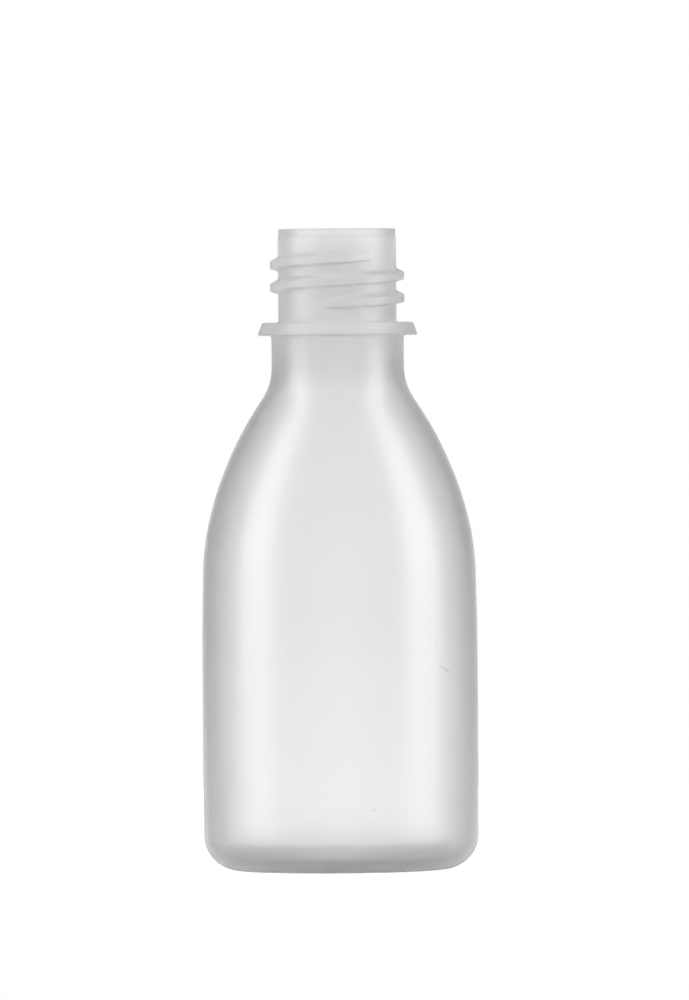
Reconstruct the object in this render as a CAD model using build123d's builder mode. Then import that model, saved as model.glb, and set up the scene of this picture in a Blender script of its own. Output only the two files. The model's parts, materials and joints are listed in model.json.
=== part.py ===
"""A round narrow-mouth media bottle, blow moulded in one piece, with a screw neck.

Lengths are in millimetres and angles in degrees. The origin is the centre of the
standing ring, +Z is up towards the mouth, and the front of the bottle faces -Y.
"""

from build123d import *

import os
from math import acos, atan2, cos, degrees, radians, sin, sqrt, tan

# Overall size
overall_height = 85.8
body_diameter = 36.9

# Wall thicknesses of the blown body
body_wall = 1.1
heel_wall = 2.0  # just above the base, where the wall is thickest
floor_thickness = 1.2  # at the middle of the base

# Neck finish, from the mouth down
bore_diameter = 12.8
neck_diameter = 15.85
lip_diameter = 15.65
lip_height = 1.0
lip_round = 0.15

# Right-handed screw thread, a single rib that fades into the neck at both ends
thread_diameter = 18.0
thread_pitch = 3.0
thread_drop = 3.75  # from the mouth to the middle of the rib, where it starts
thread_start_angle = -55.0  # round from +X, which is 35 degrees right of the front
thread_sweep = 770.0
thread_crest_width = 1.0
thread_upper_flank = 27.0
thread_lower_flank = 15.0
thread_fade = 40.0  # the turn over which the rib rises out of the neck
thread_root_depth = 0.5  # how deep the rib is rooted in the neck wall
thread_section_step = 15.0  # the turn from one section of the rib to the next

# Snap ring under the thread, a cone that a tamper band slips over
ring_drop = 12.5  # from the mouth to the ring's upper face
ring_height = 1.75
ring_upper_diameter = 20.2
ring_lower_diameter = 21.6
ring_round = 0.25

# Plain collar between the snap ring and the shoulder
collar_diameter = 17.75
collar_length = 4.15

# Shoulder and barrel, a chain of tangent arcs
neck_sweep_radius = 7.8
shoulder_radius = 48.0
shoulder_end_lean = 13.3  # how far the wall leans from upright where the arc ends
blend_radius = 33.5
blend_end_lean = 1.87
barrel_radius = 355.0
bore_sweep_radius = 22.0  # where the bore opens out into the shoulder

# Base
heel_radius = 4.7
foot_width = 0.9  # the flat ring that the bottle stands on
push_up = 1.2  # depth of the hollow under the base
floor_corner_radius = 2.0  # inside, where the floor meets the wall


def on_arc(centre, radius, lean):
    """The point of an arc where an upright wall would lean inwards by this angle."""
    run = radius * cos(radians(lean))
    rise = radius * sin(radians(lean))
    return centre[0] + run, centre[1] + rise


def arc_between(centre, radius, first_lean, last_lean):
    """The three points that draw an arc from one lean to another."""
    middle_lean = (first_lean + last_lean) / 2
    return [on_arc(centre, radius, lean) for lean in (first_lean, middle_lean, last_lean)]


def dome_between(edge_radius, edge_height, rise):
    """The three points that draw half a shallow dome, level where it meets the axis."""
    dome_radius = (edge_radius**2 + rise**2) / (2 * rise)
    middle_turn = atan2(edge_radius, dome_radius - rise) / 2
    crown_height = edge_height + rise
    middle_run = dome_radius * sin(middle_turn)
    middle_height = crown_height - dome_radius * (1 - cos(middle_turn))
    return (edge_radius, edge_height), (middle_run, middle_height), (0, crown_height)


# Radii and heights that the driving dimensions give
body_radius = body_diameter / 2
bore_radius = bore_diameter / 2
neck_radius = neck_diameter / 2
lip_radius = lip_diameter / 2
collar_radius = collar_diameter / 2
ring_top = overall_height - ring_drop
ring_bottom = ring_top - ring_height
collar_bottom = ring_bottom - collar_length
foot_outer_radius = body_radius - heel_radius
foot_inner_radius = foot_outer_radius - foot_width
floor_height = push_up + floor_thickness
cavity_foot_radius = body_radius - heel_wall
cavity_body_radius = body_radius - body_wall

# The lean at which the neck's sweep hands over to the shoulder follows from the diameters
barrel_gain = barrel_radius * (1 - cos(radians(blend_end_lean)))
blend_gain = blend_radius * (cos(radians(blend_end_lean)) - cos(radians(shoulder_end_lean)))
shoulder_gain = body_radius - collar_radius - barrel_gain - blend_gain
shoulder_start_lean = degrees(
    acos(
        (neck_sweep_radius + shoulder_radius * cos(radians(shoulder_end_lean)) - shoulder_gain)
        / (neck_sweep_radius + shoulder_radius)
    )
)

# Centres of the arcs, from the collar down
neck_sweep_centre = (collar_radius + neck_sweep_radius, collar_bottom)
shoulder_centre = on_arc(
    neck_sweep_centre, -neck_sweep_radius - shoulder_radius, shoulder_start_lean
)
blend_centre = on_arc(shoulder_centre, shoulder_radius - blend_radius, shoulder_end_lean)
barrel_centre = on_arc(blend_centre, blend_radius - barrel_radius, blend_end_lean)
heel_centre = (foot_outer_radius, heel_radius)
floor_corner_centre = (
    cavity_foot_radius - floor_corner_radius,
    floor_height + floor_corner_radius,
)

# The bore's own sweep touches the bore and the inside of the shoulder
bore_sweep_run = bore_radius + bore_sweep_radius - shoulder_centre[0]
bore_sweep_reach = shoulder_radius - body_wall + bore_sweep_radius
bore_sweep_rise = sqrt(bore_sweep_reach**2 - bore_sweep_run**2)
bore_sweep_lean = degrees(atan2(bore_sweep_rise, bore_sweep_run))
bore_sweep_centre = (
    bore_radius + bore_sweep_radius,
    shoulder_centre[1] + bore_sweep_rise,
)

# Thread section, across the rib
thread_radius = thread_diameter / 2
thread_height = thread_radius - neck_radius
thread_upper_spread = tan(radians(thread_upper_flank))
thread_lower_spread = tan(radians(thread_lower_flank))
thread_lead = thread_pitch / 360  # how far the rib climbs for each degree
thread_start_height = overall_height - thread_drop
thread_section_count = round(thread_sweep / thread_section_step) + 1

with BuildPart() as thread:
    # One section of the rib every few degrees; it stands lower where the rib fades out
    for section in range(thread_section_count):
        turned = thread_sweep * section / (thread_section_count - 1)
        to_end = min(turned, thread_sweep - turned)
        height = thread_height * sin(radians(90 * min(1, to_end / thread_fade)))
        angle = thread_start_angle - turned
        middle = thread_start_height - turned * thread_lead
        plane = Plane(
            origin=(0, 0, middle),
            x_dir=(cos(radians(angle)), sin(radians(angle)), 0),
            z_dir=(sin(radians(angle)), -cos(radians(angle)), 0),
        )
        half_crest = thread_crest_width / 2
        crest = neck_radius + height
        root = neck_radius - thread_root_depth
        drop = crest - root
        with BuildSketch(plane):
            Polygon(
                (root, -half_crest - drop * thread_lower_spread),
                (crest, -half_crest),
                (crest, half_crest),
                (root, half_crest + drop * thread_upper_spread),
                align=None,
            )
    loft()

with BuildPart() as bottle:
    # Half section of the wall, revolved into the whole hollow shell
    with BuildSketch(Plane.XZ):
        with BuildLine():
            # Outside, down from the mouth
            Polyline(
                (bore_radius, overall_height),
                (lip_radius, overall_height),
                (lip_radius, overall_height - lip_height),
                (neck_radius, overall_height - lip_height),
                (neck_radius, ring_top),
                (ring_upper_diameter / 2, ring_top),
                (ring_lower_diameter / 2, ring_bottom),
                (collar_radius, ring_bottom),
                (collar_radius, collar_bottom),
            )
            ThreePointArc(
                *arc_between(neck_sweep_centre, -neck_sweep_radius, 0, shoulder_start_lean)
            )
            ThreePointArc(
                *arc_between(
                    shoulder_centre, shoulder_radius, shoulder_start_lean, shoulder_end_lean
                )
            )
            ThreePointArc(
                *arc_between(blend_centre, blend_radius, shoulder_end_lean, blend_end_lean)
            )
            ThreePointArc(*arc_between(barrel_centre, barrel_radius, blend_end_lean, 0))
            Line((body_radius, barrel_centre[1]), (body_radius, heel_radius))
            ThreePointArc(*arc_between(heel_centre, heel_radius, 0, -90))
            Line((foot_outer_radius, 0), (foot_inner_radius, 0))
            ThreePointArc(*dome_between(foot_inner_radius, 0, push_up))

            # Inside, up from the middle of the floor
            Polyline(
                (0, push_up),
                (0, floor_height),
                (floor_corner_centre[0], floor_height),
            )
            ThreePointArc(*arc_between(floor_corner_centre, floor_corner_radius, -90, 0))
            Line(
                (cavity_foot_radius, floor_corner_centre[1]),
                (cavity_body_radius, barrel_centre[1]),
            )
            ThreePointArc(
                *arc_between(barrel_centre, barrel_radius - body_wall, 0, blend_end_lean)
            )
            ThreePointArc(
                *arc_between(
                    blend_centre, blend_radius - body_wall, blend_end_lean, shoulder_end_lean
                )
            )
            ThreePointArc(
                *arc_between(
                    shoulder_centre,
                    shoulder_radius - body_wall,
                    shoulder_end_lean,
                    bore_sweep_lean,
                )
            )
            ThreePointArc(
                *arc_between(bore_sweep_centre, -bore_sweep_radius, bore_sweep_lean, 0)
            )
            Line((bore_radius, bore_sweep_centre[1]), (bore_radius, overall_height))
        make_face()
    revolve(axis=Axis.Z)

    # Soft edges on the lip and the snap ring
    rims = bottle.edges().filter_by(GeomType.CIRCLE)
    mouth_edges = rims.filter_by_position(Axis.Z, overall_height, overall_height)
    fillet(mouth_edges, lip_round)
    ring_edges = bottle.edges().filter_by(
        lambda edge: edge.geom_type == GeomType.CIRCLE
        and edge.radius > neck_radius + thread_height
        and ring_bottom - ring_round < edge.center().Z < ring_top + ring_round
    )
    fillet(ring_edges, ring_round)

    # The thread is moulded in one with the neck
    add(thread.part)

bottle.part.label = "bottle"

os.makedirs("parts", exist_ok=True)
export_step(bottle.part, "parts/bottle.step")
print(f"shell {bottle.part.volume / 1000:.2f} cm3, one solid: {len(bottle.solids()) == 1}")
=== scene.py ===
"""Dresses and lights a round narrow-mouth media bottle, blow moulded in natural polyethylene.

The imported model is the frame. The scene adds the bottle's finished skin in its place, a pale
table, soft light from both sides and the camera. Sizes are in millimetres and angles in degrees
until the last step, which turns them into Blender's metres.
"""

import json
import logging
from dataclasses import dataclass, field
from enum import Enum
from math import acos, atan2, cos, degrees, dist, pi, radians, sin, sqrt, tan
from typing import Any

import bpy
from mathutils import Euler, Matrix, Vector


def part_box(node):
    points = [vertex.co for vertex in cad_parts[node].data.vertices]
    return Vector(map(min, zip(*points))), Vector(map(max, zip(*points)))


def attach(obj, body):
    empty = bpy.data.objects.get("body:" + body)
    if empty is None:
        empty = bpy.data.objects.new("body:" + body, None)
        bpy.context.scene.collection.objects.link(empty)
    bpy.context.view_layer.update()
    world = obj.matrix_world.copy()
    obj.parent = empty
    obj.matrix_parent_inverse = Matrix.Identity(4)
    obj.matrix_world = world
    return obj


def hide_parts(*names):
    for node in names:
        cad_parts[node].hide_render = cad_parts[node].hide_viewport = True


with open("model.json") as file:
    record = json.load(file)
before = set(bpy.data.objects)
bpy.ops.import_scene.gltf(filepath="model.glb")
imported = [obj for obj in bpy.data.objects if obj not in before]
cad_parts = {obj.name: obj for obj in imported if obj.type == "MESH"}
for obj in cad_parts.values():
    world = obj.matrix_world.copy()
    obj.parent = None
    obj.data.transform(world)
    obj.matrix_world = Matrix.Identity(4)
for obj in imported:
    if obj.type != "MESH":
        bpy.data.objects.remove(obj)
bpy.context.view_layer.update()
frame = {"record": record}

LOG = logging.getLogger("media_bottle")
MM = 0.001

Point = tuple[float, float]


# ---------------------------------------------------------------------------------------------
# Colour and node helpers
# ---------------------------------------------------------------------------------------------


def linear_colour(hex_code: str) -> tuple[float, float, float, float]:
    """Turns an sRGB hex colour into the linear colour that a shader takes.

    Args:
        hex_code: Six hex digits after a hash, such as "#F2F2EF".

    Returns:
        Linear red, green, blue and an alpha of one.
    """
    channels = []
    for start in (1, 3, 5):
        value = int(hex_code[start : start + 2], 16) / 255
        linear = value / 12.92 if value <= 0.04045 else ((value + 0.055) / 1.055) ** 2.4
        channels.append(linear)
    return (channels[0], channels[1], channels[2], 1.0)


def add_node(
    tree: bpy.types.NodeTree,
    kind: str,
    settings: dict[str, Any] | None = None,
    inputs: dict[str | int, Any] | None = None,
) -> bpy.types.Node:
    """Adds a node, sets its properties, and fills or links its inputs.

    Args:
        tree: The node tree that gets the node.
        kind: Blender's name for the node's type.
        settings: Property names and their values.
        inputs: Socket names or numbers, each with a value or an output socket to link from.

    Returns:
        The new node.
    """
    node = tree.nodes.new(kind)
    for name, value in (settings or {}).items():
        setattr(node, name, value)
    for socket, value in (inputs or {}).items():
        if isinstance(value, bpy.types.NodeSocket):
            tree.links.new(value, node.inputs[socket])
        else:
            node.inputs[socket].default_value = value
    return node


def blank_material(name: str) -> bpy.types.Material:
    """Makes a material with an empty node tree.

    Args:
        name: The material's name.

    Returns:
        The new material.
    """
    material = bpy.data.materials.new(name)
    material.use_nodes = True
    material.node_tree.nodes.clear()
    return material


def flared_strip(
    tree: bpy.types.NodeTree,
    heading: bpy.types.NodeSocket,
    angles: tuple[float, float],
    levels: tuple[float, float],
) -> bpy.types.NodeSocket:
    """A strip that runs from front to back and flares out, with soft edges.

    Args:
        tree: The node tree that gets the nodes.
        heading: The way a ray travels, one unit long.
        angles: The angles off the line from front to back where the strip's edge starts and ends.
        levels: The level inside the strip and the one outside it.

    Returns:
        The socket that holds the level.
    """
    axes = add_node(tree, "ShaderNodeSeparateXYZ", inputs={0: heading})
    facing = add_node(tree, "ShaderNodeMath", {"operation": "ABSOLUTE"}, {0: axes.outputs["Y"]})
    strip = add_node(
        tree,
        "ShaderNodeMapRange",
        {"interpolation_type": "SMOOTHSTEP"},
        {
            "Value": facing.outputs[0],
            "From Min": cos(radians(angles[1])),
            "From Max": cos(radians(angles[0])),
            "To Min": levels[1],
            "To Max": levels[0],
        },
    )
    return strip.outputs[0]


def seen_in_plastic(
    tree: bpy.types.NodeTree, path: bpy.types.Node, level: bpy.types.NodeSocket
) -> bpy.types.NodeSocket:
    """Keeps a level for the light that the plastic mirrors or lets through.

    Args:
        tree: The node tree that gets the nodes.
        path: The node that tells the kinds of ray apart.
        level: The socket that holds the level.

    Returns:
        The socket that holds the level for those rays, and zero for all others.
    """
    in_plastic = add_node(
        tree,
        "ShaderNodeMath",
        {"operation": "MAXIMUM"},
        {0: path.outputs["Is Glossy Ray"], 1: path.outputs["Is Transmission Ray"]},
    )
    kept = add_node(
        tree, "ShaderNodeMath", {"operation": "MULTIPLY"}, {0: in_plastic.outputs[0], 1: level}
    )
    return kept.outputs[0]


# ---------------------------------------------------------------------------------------------
# Finishes
# ---------------------------------------------------------------------------------------------


@dataclass(frozen=True)
class Speck:
    """A dark grain of scorched plastic, smaller than a pinhead, caught in the barrel's wall."""

    azimuth: float
    height: float
    width: float = 0.4
    darkness: float = 0.35


@dataclass(frozen=True)
class Scratch:
    """A short scratch on the barrel, from one azimuth and height to another."""

    start: Point
    end: Point
    width: float = 0.16
    depth: float = 0.09


@dataclass(frozen=True)
class NaturalPolyethylene:
    """Natural low-density polyethylene, blow moulded against a satin steel mould.

    The unpigmented plastic lets light through but scatters it, so the eye sees a pale milky
    shell: no clear view through, a soft sheen, and a greyer tone where the wall is thick. The
    neck and the base are thicker than the barrel, so they let less light straight through.
    The heights are where one look has handed over to the next, and the clearness is the share
    of the light that the plastic lets through.
    """

    name: str = "natural_polyethylene"
    colour: str = "#FDFDFD"
    speck_colour: str = "#A8A69E"
    ior: float = 1.51
    barrel_roughness: float = 0.276
    neck_roughness: float = 0.42
    heel_roughness: float = 0.4
    finish_heights: tuple[float, float] = (66.0, 73.5)
    heel_heights: tuple[float, float] = (0.8, 3.2)
    barrel_clearness: float = 0.93
    neck_clearness: float = 0.77
    base_clearness: float = 0.72
    lip_clearness: float = 0.93
    neck_heights: tuple[float, float] = (56.0, 80.0)
    base_heights: tuple[float, float] = (0.5, 2.6)
    lip_heights: tuple[float, float] = (84.6, 85.0)
    tint: str = "#D9D9D9"
    tint_density_per_m: float = 20.0
    ripple_width: float = 3.0
    ripple_depth: float = 0.004
    # Real satin grain is several times finer; this is as coarse as it needs to be to show
    grain_width: float = 0.3
    grain_depth: float = 0.0006
    seam_width: float = 0.3
    seam_height: float = 0.02
    scratch: Scratch = Scratch((45.7, 27.4), (51.3, 26.7))
    specks: tuple[Speck, ...] = (
        Speck(27.1, 39.1),
        Speck(20.4, 39.5),
        Speck(49.0, 40.8),
        Speck(44.3, 30.5),
        Speck(13.9, 8.5),
    )

    def on_barrel(self, azimuth: float, height: float, radius: float) -> Vector:
        """The place on the barrel at an azimuth right of the front, in metres."""
        turn = radians(azimuth)
        return Vector((radius * sin(turn), -radius * cos(turn), height)) * MM

    def ramp(
        self,
        tree: bpy.types.NodeTree,
        value: bpy.types.NodeSocket,
        between: tuple[float, float],
        first: float | bpy.types.NodeSocket,
        last: float | bpy.types.NodeSocket,
    ) -> bpy.types.NodeSocket:
        """Changes smoothly from one value to another as a length grows.

        Args:
            tree: The material's node tree.
            value: The length that drives the change, in metres.
            between: The lengths in millimetres where the change starts and ends.
            first: The value before the change.
            last: The value after it.

        Returns:
            The socket that holds the value.
        """
        change = add_node(
            tree,
            "ShaderNodeMapRange",
            {"interpolation_type": "SMOOTHSTEP"},
            {
                "Value": value,
                "From Min": between[0] * MM,
                "From Max": between[1] * MM,
                "To Min": first,
                "To Max": last,
            },
        )
        return change.outputs[0]

    def speck_mask(
        self, tree: bpy.types.NodeTree, place: bpy.types.NodeSocket, radius: float
    ) -> bpy.types.NodeSocket:
        """Marks the dark grains: above zero on a grain and zero elsewhere.

        Args:
            tree: The material's node tree.
            place: The shaded point.
            radius: The barrel's radius.

        Returns:
            The socket that holds the mask.
        """
        mask: float | bpy.types.NodeSocket = 0.0
        for speck in self.specks:
            middle = self.on_barrel(speck.azimuth, speck.height, radius)
            away = add_node(
                tree, "ShaderNodeVectorMath", {"operation": "DISTANCE"}, {0: place, 1: middle}
            )
            spot = self.ramp(tree, away.outputs["Value"], (0.0, speck.width), speck.darkness, 0.0)
            both = add_node(tree, "ShaderNodeMath", {"operation": "MAXIMUM"}, {0: mask, 1: spot})
            mask = both.outputs[0]
        return mask

    def groove_depth(
        self, tree: bpy.types.NodeTree, place: bpy.types.NodeSocket, radius: float
    ) -> bpy.types.NodeSocket:
        """How deep the scratch is at the shaded point, below zero and in millimetres.

        Args:
            tree: The material's node tree.
            place: The shaded point.
            radius: The barrel's radius.

        Returns:
            The socket that holds the depth.
        """
        start = self.on_barrel(*self.scratch.start, radius)
        run = self.on_barrel(*self.scratch.end, radius) - start
        offset = add_node(
            tree, "ShaderNodeVectorMath", {"operation": "SUBTRACT"}, {0: place, 1: start}
        )
        along = add_node(
            tree,
            "ShaderNodeVectorMath",
            {"operation": "DOT_PRODUCT"},
            {0: offset.outputs[0], 1: run / run.length_squared},
        )
        share = add_node(tree, "ShaderNodeClamp", inputs={"Value": along.outputs["Value"]})
        reached = add_node(
            tree,
            "ShaderNodeVectorMath",
            {"operation": "SCALE"},
            {0: run, "Scale": share.outputs[0]},
        )
        away = add_node(
            tree,
            "ShaderNodeVectorMath",
            {"operation": "DISTANCE"},
            {0: offset.outputs[0], 1: reached.outputs[0]},
        )
        width = (0.0, self.scratch.width)
        return self.ramp(tree, away.outputs["Value"], width, -self.scratch.depth, 0.0)

    def relief(
        self, tree: bpy.types.NodeTree, place: bpy.types.NodeSocket, radius: float
    ) -> bpy.types.NodeSocket:
        """The small relief of the skin: slow ripples, satin grain, mould line and scratch.

        Args:
            tree: The material's node tree.
            place: The shaded point.
            radius: The barrel's radius.

        Returns:
            The socket that holds the bumped normal.
        """
        depths = [self.groove_depth(tree, place, radius)]
        patterns = ((self.ripple_width, self.ripple_depth), (self.grain_width, self.grain_depth))
        for width, depth in patterns:
            noise = add_node(
                tree,
                "ShaderNodeTexNoise",
                inputs={"Vector": place, "Scale": 1 / (width * MM), "Detail": 1.0},
            )
            scaled = add_node(
                tree, "ShaderNodeMath", {"operation": "MULTIPLY"}, {0: noise.outputs[0], 1: depth}
            )
            depths.append(scaled.outputs[0])
        axes = add_node(tree, "ShaderNodeSeparateXYZ", inputs={0: place})
        aside = add_node(tree, "ShaderNodeMath", {"operation": "ABSOLUTE"}, {0: axes.outputs["Y"]})
        seam = (0.0, self.seam_width / 2)
        depths.append(self.ramp(tree, aside.outputs[0], seam, self.seam_height, 0.0))
        total = depths[0]
        for depth in depths[1:]:
            both = add_node(tree, "ShaderNodeMath", {"operation": "ADD"}, {0: total, 1: depth})
            total = both.outputs[0]
        bump = add_node(tree, "ShaderNodeBump", inputs={"Distance": MM, "Height": total})
        return bump.outputs["Normal"]

    def build(self, barrel_radius: float) -> bpy.types.Material:
        """Makes the material.

        Args:
            barrel_radius: The radius on which the grains and the scratch lie.

        Returns:
            The finished material.
        """
        material = blank_material(self.name)
        tree = material.node_tree
        place = add_node(tree, "ShaderNodeTexCoord").outputs["Object"]
        axes = add_node(tree, "ShaderNodeSeparateXYZ", inputs={0: place})
        height = axes.outputs["Z"]
        mask = self.speck_mask(tree, place, barrel_radius)
        colour = add_node(
            tree,
            "ShaderNodeMix",
            {"data_type": "RGBA"},
            {
                "Factor": mask,
                "A": linear_colour(self.colour),
                "B": linear_colour(self.speck_colour),
            },
        )
        upper = self.ramp(
            tree, height, self.neck_heights, self.barrel_clearness, self.neck_clearness
        )
        above = self.ramp(tree, height, self.lip_heights, upper, self.lip_clearness)
        whole = self.ramp(tree, height, self.base_heights, self.base_clearness, above)
        clear = add_node(tree, "ShaderNodeMath", {"operation": "SUBTRACT"}, {0: whole, 1: mask})
        satin = self.ramp(
            tree, height, self.finish_heights, self.barrel_roughness, self.neck_roughness
        )
        roughness = self.ramp(tree, height, self.heel_heights, self.heel_roughness, satin)
        plastic = add_node(
            tree,
            "ShaderNodeBsdfPrincipled",
            inputs={
                "Base Color": colour.outputs["Result"],
                "Roughness": roughness,
                "IOR": self.ior,
                "Transmission Weight": clear.outputs[0],
                "Normal": self.relief(tree, place, barrel_radius),
            },
        )
        depth = add_node(
            tree,
            "ShaderNodeVolumeAbsorption",
            inputs={"Color": linear_colour(self.tint), "Density": self.tint_density_per_m},
        )
        add_node(
            tree,
            "ShaderNodeOutputMaterial",
            inputs={"Surface": plastic.outputs["BSDF"], "Volume": depth.outputs["Volume"]},
        )
        return material


@dataclass(frozen=True)
class PaintedTable:
    """A white painted board that keeps a soft shadow and reads as white in front of the lens.

    The lift values are the glow that is added to the paint. For the lens there is one close to the
    bottle and one far from it. What the plastic mirrors or lets through sees a painted reflection:
    a glow that follows the way the ray travels, one level along the strip that runs from front to
    back and one to the sides of it, which paints light into the bottle and leaves its edges darker.
    """

    name: str = "white_table_and_painted_reflection"
    colour: str = "#EDEDED"
    lift: float = 0.7
    far_lift: float = 1.0
    # Painted reflection: glow that only rays the plastic mirrors or lets through see, in the strip
    # and to its sides
    painted_reflection_lift: float = 0.5
    painted_reflection_side_lift: float = 0.0
    painted_reflection_angles: tuple[float, float] = (15.0, 40.0)
    shadow_reach: float = 30.0
    white_reach: float = 120.0

    def build(self) -> bpy.types.Material:
        """Makes the material.

        Returns:
            The finished material.
        """
        material = blank_material(self.name)
        tree = material.node_tree
        path = add_node(tree, "ShaderNodeLightPath")
        place = add_node(tree, "ShaderNodeTexCoord")
        reach = add_node(
            tree, "ShaderNodeVectorMath", {"operation": "LENGTH"}, {0: place.outputs["Object"]}
        )
        fade = add_node(
            tree,
            "ShaderNodeMapRange",
            {"interpolation_type": "SMOOTHSTEP"},
            {
                "Value": reach.outputs["Value"],
                "From Min": self.shadow_reach * MM,
                "From Max": self.white_reach * MM,
                "To Min": self.lift,
                "To Max": self.far_lift,
            },
        )
        # Painted reflection: the glow for the plastic follows the heading of its ray, not the place
        # on the board
        ray = add_node(tree, "ShaderNodeNewGeometry")
        level = add_node(
            tree,
            "ShaderNodeVectorMath",
            {"operation": "MULTIPLY"},
            {0: ray.outputs["Incoming"], 1: (1.0, 1.0, 0.0)},
        )
        heading = add_node(
            tree, "ShaderNodeVectorMath", {"operation": "NORMALIZE"}, {0: level.outputs[0]}
        )
        painted_reflection_levels = (self.painted_reflection_lift, self.painted_reflection_side_lift)
        strip = flared_strip(tree, heading.outputs[0], self.painted_reflection_angles, painted_reflection_levels)
        lift = add_node(
            tree,
            "ShaderNodeMapRange",
            inputs={
                "Value": path.outputs["Is Camera Ray"],
                "To Min": seen_in_plastic(tree, path, strip),
                "To Max": fade.outputs[0],
            },
        )
        glow = add_node(tree, "ShaderNodeEmission", inputs={"Strength": lift.outputs[0]})
        paint = add_node(
            tree, "ShaderNodeBsdfDiffuse", inputs={"Color": linear_colour(self.colour)}
        )
        both = add_node(
            tree, "ShaderNodeAddShader", inputs={0: glow.outputs[0], 1: paint.outputs[0]}
        )
        add_node(tree, "ShaderNodeOutputMaterial", inputs={"Surface": both.outputs[0]})
        return material


# ---------------------------------------------------------------------------------------------
# The bottle
# ---------------------------------------------------------------------------------------------


@dataclass(frozen=True)
class Ring:
    """One ring of the bottle's skin."""

    radius: float
    height: float
    threaded: bool = False


def smooth_least(first: float, second: float, blend: float) -> float:
    """The smaller of two lengths, rounded over where they are close.

    Args:
        first: One length.
        second: The other length.
        blend: The difference within which the corner is rounded.

    Returns:
        The smaller length, or a little less near the corner.
    """
    overlap = max(blend - abs(first - second), 0) / blend
    return min(first, second) - overlap * overlap * blend / 4


def straight(start: Point, end: Point, steps: int) -> list[Point]:
    """Points along a straight stretch, the first left out."""
    return [
        (
            start[0] + (end[0] - start[0]) * step / steps,
            start[1] + (end[1] - start[1]) * step / steps,
        )
        for step in range(1, steps + 1)
    ]


def on_arc(centre: Point, radius: float, lean: float) -> Point:
    """The point of an arc where an upright wall would lean inwards by this angle."""
    return (centre[0] + radius * cos(radians(lean)), centre[1] + radius * sin(radians(lean)))


def arc(centre: Point, radius: float, first: float, last: float, steps: int) -> list[Point]:
    """Points along an arc between two leans, the first left out.

    Args:
        centre: The arc's centre, as a radius and a height on the bottle.
        radius: The arc's radius, below zero for a hollow arc.
        first: The lean where the arc begins.
        last: The lean where it ends.
        steps: How many points to make.

    Returns:
        The points in order.
    """
    return [
        on_arc(centre, radius, first + (last - first) * step / steps)
        for step in range(1, steps + 1)
    ]


def dome(edge_radius: float, edge_height: float, rise: float, steps: int) -> list[Point]:
    """Points from the edge of a shallow dome to just short of its top.

    Args:
        edge_radius: The dome's radius at its edge.
        edge_height: The height of its edge.
        rise: How far the top stands above the edge.
        steps: How many points there would be with the one at the top.

    Returns:
        The points in order from the edge, without the edge and the top.
    """
    sphere = (edge_radius**2 + rise**2) / (2 * rise)
    turn = atan2(edge_radius, sphere - rise)
    points = []
    for step in range(1, steps):
        left = turn * (1 - step / steps)
        points.append((sphere * sin(left), edge_height + rise - sphere * (1 - cos(left))))
    return points


def soften(
    corner_before: Point, corner: Point, corner_after: Point, radius: float, steps: int
) -> list[Point]:
    """Rounds one corner of an outline.

    Args:
        corner_before: The point that the outline comes from.
        corner: The corner itself.
        corner_after: The point that the outline goes to.
        radius: The radius of the rounding.
        steps: How many points to put along the rounding.

    Returns:
        The points along the rounding, both ends included.
    """
    here = Vector(corner)
    back = (Vector(corner_before) - here).normalized()
    ahead = (Vector(corner_after) - here).normalized()
    half = back.angle(ahead) / 2
    reach = radius / tan(half)
    centre = here + (back + ahead).normalized() * (radius / sin(half))
    first = here + back * reach - centre
    last = here + ahead * reach - centre
    return [
        tuple(centre + first.slerp(last, step / steps) * radius) for step in range(steps + 1)
    ]


@dataclass(frozen=True)
class ScrewThread:
    """The neck's right-handed rib, a single start that fades into the neck at both ends."""

    neck_radius: float
    crest_radius: float
    start_height: float
    pitch: float = 3.0
    start_angle: float = -55.0
    sweep: float = 770.0
    crest_width: float = 1.0
    upper_flank: float = 27.0
    lower_flank: float = 15.0
    fade: float = 40.0
    rounding: float = 0.3

    def rise(self, angle: float, height: float) -> float:
        """How far the rib stands out of the neck at one place.

        Args:
            angle: The place's angle round the bottle.
            height: Its height on the bottle.

        Returns:
            The distance out from the neck's wall.
        """
        turned = (self.start_angle - angle) % 360
        highest = 0.0
        while turned <= self.sweep:
            to_end = min(turned, self.sweep - turned)
            risen = sin(radians(90 * min(1, to_end / self.fade)))
            full = (self.crest_radius - self.neck_radius) * risen
            above = height - (self.start_height - self.pitch * turned / 360)
            flank = self.upper_flank if above > 0 else self.lower_flank
            beside = full - (abs(above) - self.crest_width / 2) / tan(radians(flank))
            crest = smooth_least(full, beside, self.rounding)
            if crest > -self.rounding:
                highest = max(highest, -smooth_least(-crest, 0, self.rounding))
            turned += 360
        return highest


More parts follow.
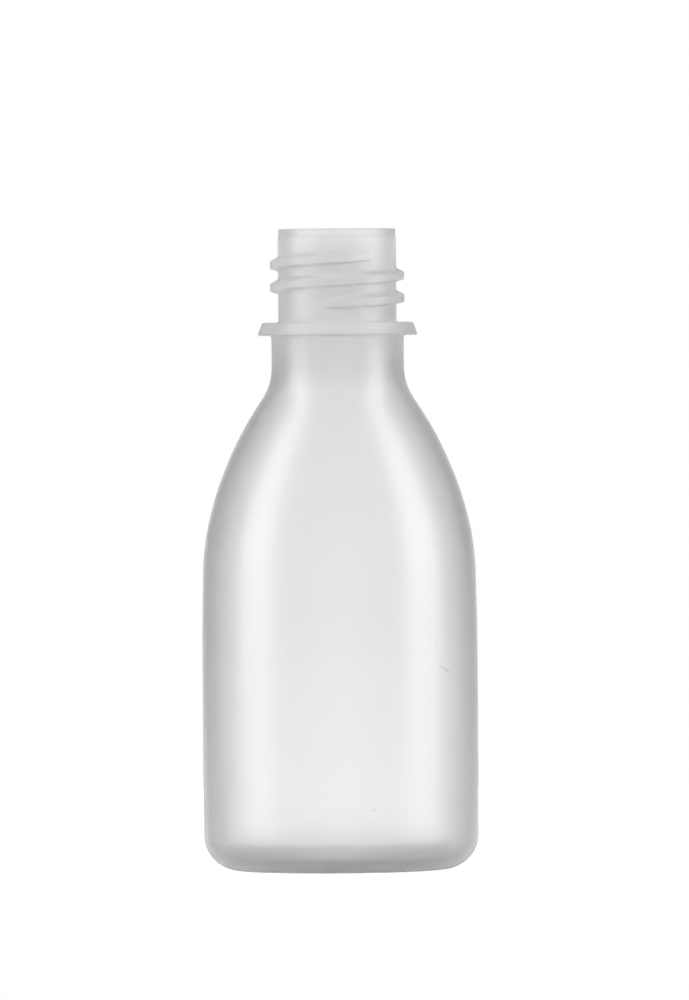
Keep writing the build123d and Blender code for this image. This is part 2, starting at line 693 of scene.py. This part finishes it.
@dataclass(frozen=True)
class MediaBottle:
    """The bottle: barrel, sloping shoulder, collar, snap ring and threaded neck in one skin."""

    height: float
    body_radius: float
    bore_radius: float
    crest_radius: float
    wall: float = 1.1
    heel_wall: float = 2.0
    floor: float = 1.2
    neck_radius: float = 7.925
    lip_radius: float = 7.825
    lip_height: float = 1.0
    lip_round: float = 0.15
    lip_step_round: float = 0.04
    mouth_round: float = 0.15
    thread_drop: float = 3.75
    ring_drop: float = 12.5
    ring_height: float = 1.75
    ring_upper_radius: float = 10.1
    ring_lower_radius: float = 10.8
    ring_round: float = 0.25
    collar_radius: float = 8.875
    collar_length: float = 4.15
    root_round: float = 0.3
    neck_sweep: float = 7.8
    shoulder_radius: float = 48.0
    shoulder_end_lean: float = 13.3
    blend_radius: float = 33.5
    blend_end_lean: float = 1.87
    barrel_radius: float = 355.0
    bore_sweep: float = 22.0
    heel_radius: float = 4.7
    foot_width: float = 0.9
    push_up: float = 1.2
    floor_corner: float = 2.0
    columns: int = 240
    ring_spacing: float = 0.3
    fewest_rings: int = 4
    threaded_rings: int = 140
    bend_steps: int = 6
    finish: NaturalPolyethylene = field(default_factory=NaturalPolyethylene)

    def thread(self) -> ScrewThread:
        """The rib that belongs on this neck."""
        return ScrewThread(self.neck_radius, self.crest_radius, self.height - self.thread_drop)

    def shoulder_start_lean(self) -> float:
        """Finds where the hollow sweep of the neck hands over to the shoulder.

        Returns:
            The lean of the wall there.
        """
        barrel_gain = self.barrel_radius * (1 - cos(radians(self.blend_end_lean)))
        blend_gain = self.blend_radius * (
            cos(radians(self.blend_end_lean)) - cos(radians(self.shoulder_end_lean))
        )
        gain = self.body_radius - self.collar_radius - barrel_gain - blend_gain
        reach = self.neck_sweep + self.shoulder_radius * cos(radians(self.shoulder_end_lean)) - gain
        return degrees(acos(reach / (self.neck_sweep + self.shoulder_radius)))

    def outline(self) -> list[Ring]:
        """The skin's half section, from the middle of the base, up, over the lip and down inside.

        Returns:
            The rings in order, without the two points on the axis.
        """
        foot_outer = self.body_radius - self.heel_radius
        foot_inner = foot_outer - self.foot_width
        ring_top = self.height - self.ring_drop
        ring_bottom = ring_top - self.ring_height
        collar_bottom = ring_bottom - self.collar_length
        start_lean = self.shoulder_start_lean()
        sweep_centre = (self.collar_radius + self.neck_sweep, collar_bottom)
        shoulder = on_arc(sweep_centre, -self.neck_sweep - self.shoulder_radius, start_lean)
        blend = on_arc(shoulder, self.shoulder_radius - self.blend_radius, self.shoulder_end_lean)
        barrel = on_arc(blend, self.blend_radius - self.barrel_radius, self.blend_end_lean)
        heel = (foot_outer, self.heel_radius)

        base = list(reversed(dome(foot_inner, 0, self.push_up, steps=12)))
        base += [(foot_inner, 0.0)] + straight((foot_inner, 0), (foot_outer, 0), steps=2)
        base += arc(heel, self.heel_radius, -90, 0, steps=20)
        side = straight(
            (self.body_radius, self.heel_radius), (self.body_radius, barrel[1]), steps=16
        )
        side += arc(barrel, self.barrel_radius, 0, self.blend_end_lean, steps=6)
        side += arc(
            blend, self.blend_radius, self.blend_end_lean, self.shoulder_end_lean, steps=8
        )
        side += arc(
            shoulder, self.shoulder_radius, self.shoulder_end_lean, start_lean, steps=16
        )
        side += arc(sweep_centre, -self.neck_sweep, start_lean, 0, steps=12)

        corners = [
            (self.collar_radius, collar_bottom),
            (self.collar_radius, ring_bottom),
            (self.ring_lower_radius, ring_bottom),
            (self.ring_upper_radius, ring_top),
            (self.neck_radius, ring_top),
            (self.neck_radius, self.height - self.lip_height),
            (self.lip_radius, self.height - self.lip_height),
            (self.lip_radius, self.height),
            (self.bore_radius, self.height),
            (self.bore_radius, collar_bottom),
        ]
        roundings = [self.root_round, self.ring_round, self.ring_round, self.root_round]
        roundings += [self.lip_step_round, self.lip_step_round, self.lip_round, self.mouth_round]
        neck: list[Ring] = []
        last = corners[0]
        for index, rounding in enumerate(roundings, start=1):
            before, corner, after = corners[index - 1 : index + 2]
            bend = soften(before, corner, after, rounding, self.bend_steps)
            threaded = before[0] == corner[0] == self.neck_radius
            spaced = max(self.fewest_rings, round(dist(last, bend[0]) / self.ring_spacing))
            rings = self.threaded_rings if threaded else spaced
            neck += [Ring(*point, threaded) for point in straight(last, bend[0], rings)[:-1]]
            neck += [Ring(*point) for point in bend]
            last = bend[-1]

        inner_shoulder = self.shoulder_radius - self.wall
        inner_blend = self.blend_radius - self.wall
        run = self.bore_radius + self.bore_sweep - shoulder[0]
        climb = sqrt((inner_shoulder + self.bore_sweep) ** 2 - run**2)
        open_lean = degrees(atan2(climb, run))
        opening = (self.bore_radius + self.bore_sweep, shoulder[1] + climb)
        mouth = (self.bore_radius, self.height - self.mouth_round)
        inside = straight(mouth, (self.bore_radius, opening[1]), steps=12)
        inside += arc(opening, -self.bore_sweep, 0, open_lean, steps=10)
        inside += arc(shoulder, inner_shoulder, open_lean, self.shoulder_end_lean, steps=16)
        inside += arc(blend, inner_blend, self.shoulder_end_lean, self.blend_end_lean, steps=8)
        inside += arc(barrel, self.barrel_radius - self.wall, self.blend_end_lean, 0, steps=6)
        foot_wall = self.body_radius - self.heel_wall
        floor_top = self.push_up + self.floor
        corner = (foot_wall - self.floor_corner, floor_top + self.floor_corner)
        barrel_foot = (self.body_radius - self.wall, barrel[1])
        inside += straight(barrel_foot, (foot_wall, corner[1]), steps=16)
        inside += arc(corner, self.floor_corner, 0, -90, steps=10)
        inside += straight((corner[0], floor_top), (0, floor_top), steps=10)[:-1]
        return [Ring(*point) for point in base + side] + neck + [Ring(*point) for point in inside]

    def build(self) -> bpy.types.Object:
        """Makes the bottle's skin as one closed mesh and dresses it.

        Returns:
            The finished object, in metres.
        """
        rings = self.outline()
        thread = self.thread()
        vertices = [(0.0, 0.0, self.push_up * MM)]
        for ring in rings:
            for column in range(self.columns):
                angle = 360 * column / self.columns
                radius = ring.radius
                if ring.threaded:
                    radius += thread.rise(angle, ring.height)
                x = radius * cos(radians(angle))
                y = radius * sin(radians(angle))
                vertices.append((x * MM, y * MM, ring.height * MM))
        vertices.append((0.0, 0.0, (self.push_up + self.floor) * MM))
        faces: list[tuple[int, ...]] = []
        last = len(vertices) - 1
        for column in range(self.columns):
            beside = (column + 1) % self.columns
            faces.append((0, 1 + beside, 1 + column))
            for row in range(len(rings) - 1):
                low = 1 + row * self.columns
                high = low + self.columns
                faces.append((low + column, low + beside, high + beside, high + column))
            top = 1 + (len(rings) - 1) * self.columns
            faces.append((top + column, top + beside, last))
        mesh = bpy.data.meshes.new("bottle_skin")
        mesh.from_pydata(vertices, [], faces)
        mesh.polygons.foreach_set("use_smooth", [True] * len(mesh.polygons))
        mesh.materials.append(self.finish.build(self.body_radius))
        mesh.update()
        skin = bpy.data.objects.new("bottle_skin", mesh)
        bpy.context.scene.collection.objects.link(skin)
        return skin


# ---------------------------------------------------------------------------------------------
# The studio
# ---------------------------------------------------------------------------------------------


class Side(Enum):
    """Which side of the table a lamp stands on, as seen from the camera."""

    LEFT = -1
    RIGHT = 1


@dataclass(frozen=True)
class SoftBox:
    """A large soft lamp that stands beside the bottle and faces it."""

    side: Side
    azimuth: float = 75.0
    distance: float = 600.0
    middle_height: float = 600.0
    width: float = 350.0
    tall: float = 1200.0
    watts: float = 4.8

    def build(self) -> bpy.types.Object:
        """Makes the lamp.

        Returns:
            The lamp object.
        """
        name = f"soft_box_{self.side.name.lower()}"
        lamp = bpy.data.lights.new(name, "AREA")
        lamp.shape = "RECTANGLE"
        lamp.size = self.width * MM
        lamp.size_y = self.tall * MM
        lamp.energy = self.watts
        stand = bpy.data.objects.new(name, lamp)
        turn = radians(self.azimuth * self.side.value)
        place = Vector((self.distance * sin(turn), -self.distance * cos(turn), self.middle_height))
        stand.location = place * MM
        aim = Vector((0, 0, self.middle_height)) - place
        stand.rotation_euler = aim.to_track_quat("-Z", "Y").to_euler()
        bpy.context.scene.collection.objects.link(stand)
        return stand


@dataclass(frozen=True)
class Studio:
    """The camera, the table, the lamps and the room's own light."""

    camera_distance: float = 1608.0
    camera_height: float = 65.6
    camera_offset: float = 0.76
    camera_pitch: float = 0.574
    camera_roll: float = -0.45
    lens: float = 432.0
    sensor: float = 36.0
    table_radius: float = 320.0
    table_height: float = -0.02
    room_level: float = 0.38
    sweep_angles: tuple[float, float] = (17.0, 26.0)
    table: PaintedTable = field(default_factory=PaintedTable)
    lamps: tuple[SoftBox, ...] = (SoftBox(Side.LEFT), SoftBox(Side.RIGHT))

    def build_camera(self) -> None:
        """Puts the camera in front of the bottle, level with its shoulder."""
        lens = bpy.data.cameras.new("camera")
        lens.lens = self.lens
        lens.sensor_width = self.sensor
        lens.clip_end = 20
        camera = bpy.data.objects.new("camera", lens)
        place = Vector((self.camera_offset, -self.camera_distance, self.camera_height))
        camera.location = place * MM
        upright = Euler((radians(90 - self.camera_pitch), 0, 0)).to_matrix()
        rolled = Euler((0, 0, radians(self.camera_roll))).to_matrix()
        camera.rotation_euler = (upright @ rolled).to_euler()
        bpy.context.scene.collection.objects.link(camera)
        bpy.context.scene.camera = camera

    def build_table(self) -> None:
        """Lays the round white table top under the bottle."""
        steps = 96
        rim = []
        for step in range(steps):
            turn = 2 * pi * step / steps
            x = self.table_radius * cos(turn)
            y = self.table_radius * sin(turn)
            rim.append(Vector((x, y, self.table_height)) * MM)
        mesh = bpy.data.meshes.new("table")
        mesh.from_pydata(rim, [], [tuple(range(steps))])
        mesh.materials.append(self.table.build())
        table = bpy.data.objects.new("table", mesh)
        bpy.context.scene.collection.objects.link(table)

    def build_room(self) -> None:
        """Lights the room evenly and shows white where the lens sees past the table."""
        world = bpy.data.worlds.new("room")
        bpy.context.scene.world = world
        world.use_nodes = True
        tree = world.node_tree
        tree.nodes.clear()
        path = add_node(tree, "ShaderNodeLightPath")
        view = add_node(tree, "ShaderNodeTexCoord")
        sweep = flared_strip(tree, view.outputs["Generated"], self.sweep_angles, (1.0, 0.0))
        seen = add_node(
            tree,
            "ShaderNodeMath",
            {"operation": "MAXIMUM"},
            {0: path.outputs["Is Camera Ray"], 1: seen_in_plastic(tree, path, sweep)},
        )
        level = add_node(
            tree,
            "ShaderNodeMapRange",
            inputs={"Value": seen.outputs[0], "To Min": self.room_level, "To Max": 1.0},
        )
        glow = add_node(
            tree,
            "ShaderNodeBackground",
            inputs={"Color": linear_colour("#FFFFFF"), "Strength": level.outputs[0]},
        )
        add_node(tree, "ShaderNodeOutputWorld", inputs={"Surface": glow.outputs[0]})

    def build(self) -> None:
        """Builds the whole studio."""
        scene = bpy.context.scene
        scene.view_settings.view_transform = "Standard"
        self.build_camera()
        self.build_table()
        self.build_room()
        for lamp in self.lamps:
            lamp.build()


def mount_radius(name: str) -> float:
    """Reads the radius that the frame states for one of the bottle's interfaces.

    Args:
        name: The interface's name.

    Returns:
        The radius in millimetres.

    Raises:
        KeyError: The frame has no interface of that name.
    """
    for mount in frame["record"]["mounts"]:
        if mount["name"] == name:
            return mount["dims"]["r_mm"]
    raise KeyError(name)


def main() -> None:
    """Builds the studio and the bottle, and reports each piece."""
    logging.basicConfig(level=logging.INFO, format="%(name)s: %(message)s")
    low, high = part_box("bottle")
    Studio().build()
    bottle = MediaBottle(
        height=high.z / MM,
        body_radius=high.x / MM,
        bore_radius=mount_radius("mouth_bore"),
        crest_radius=mount_radius("neck_thread"),
    )
    skin = bottle.build()
    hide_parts("bottle")
    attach(skin, "root")
    LOG.info("%s: %d faces, replaces bottle", skin.name, len(skin.data.polygons))


if __name__ == "__main__":
    main()
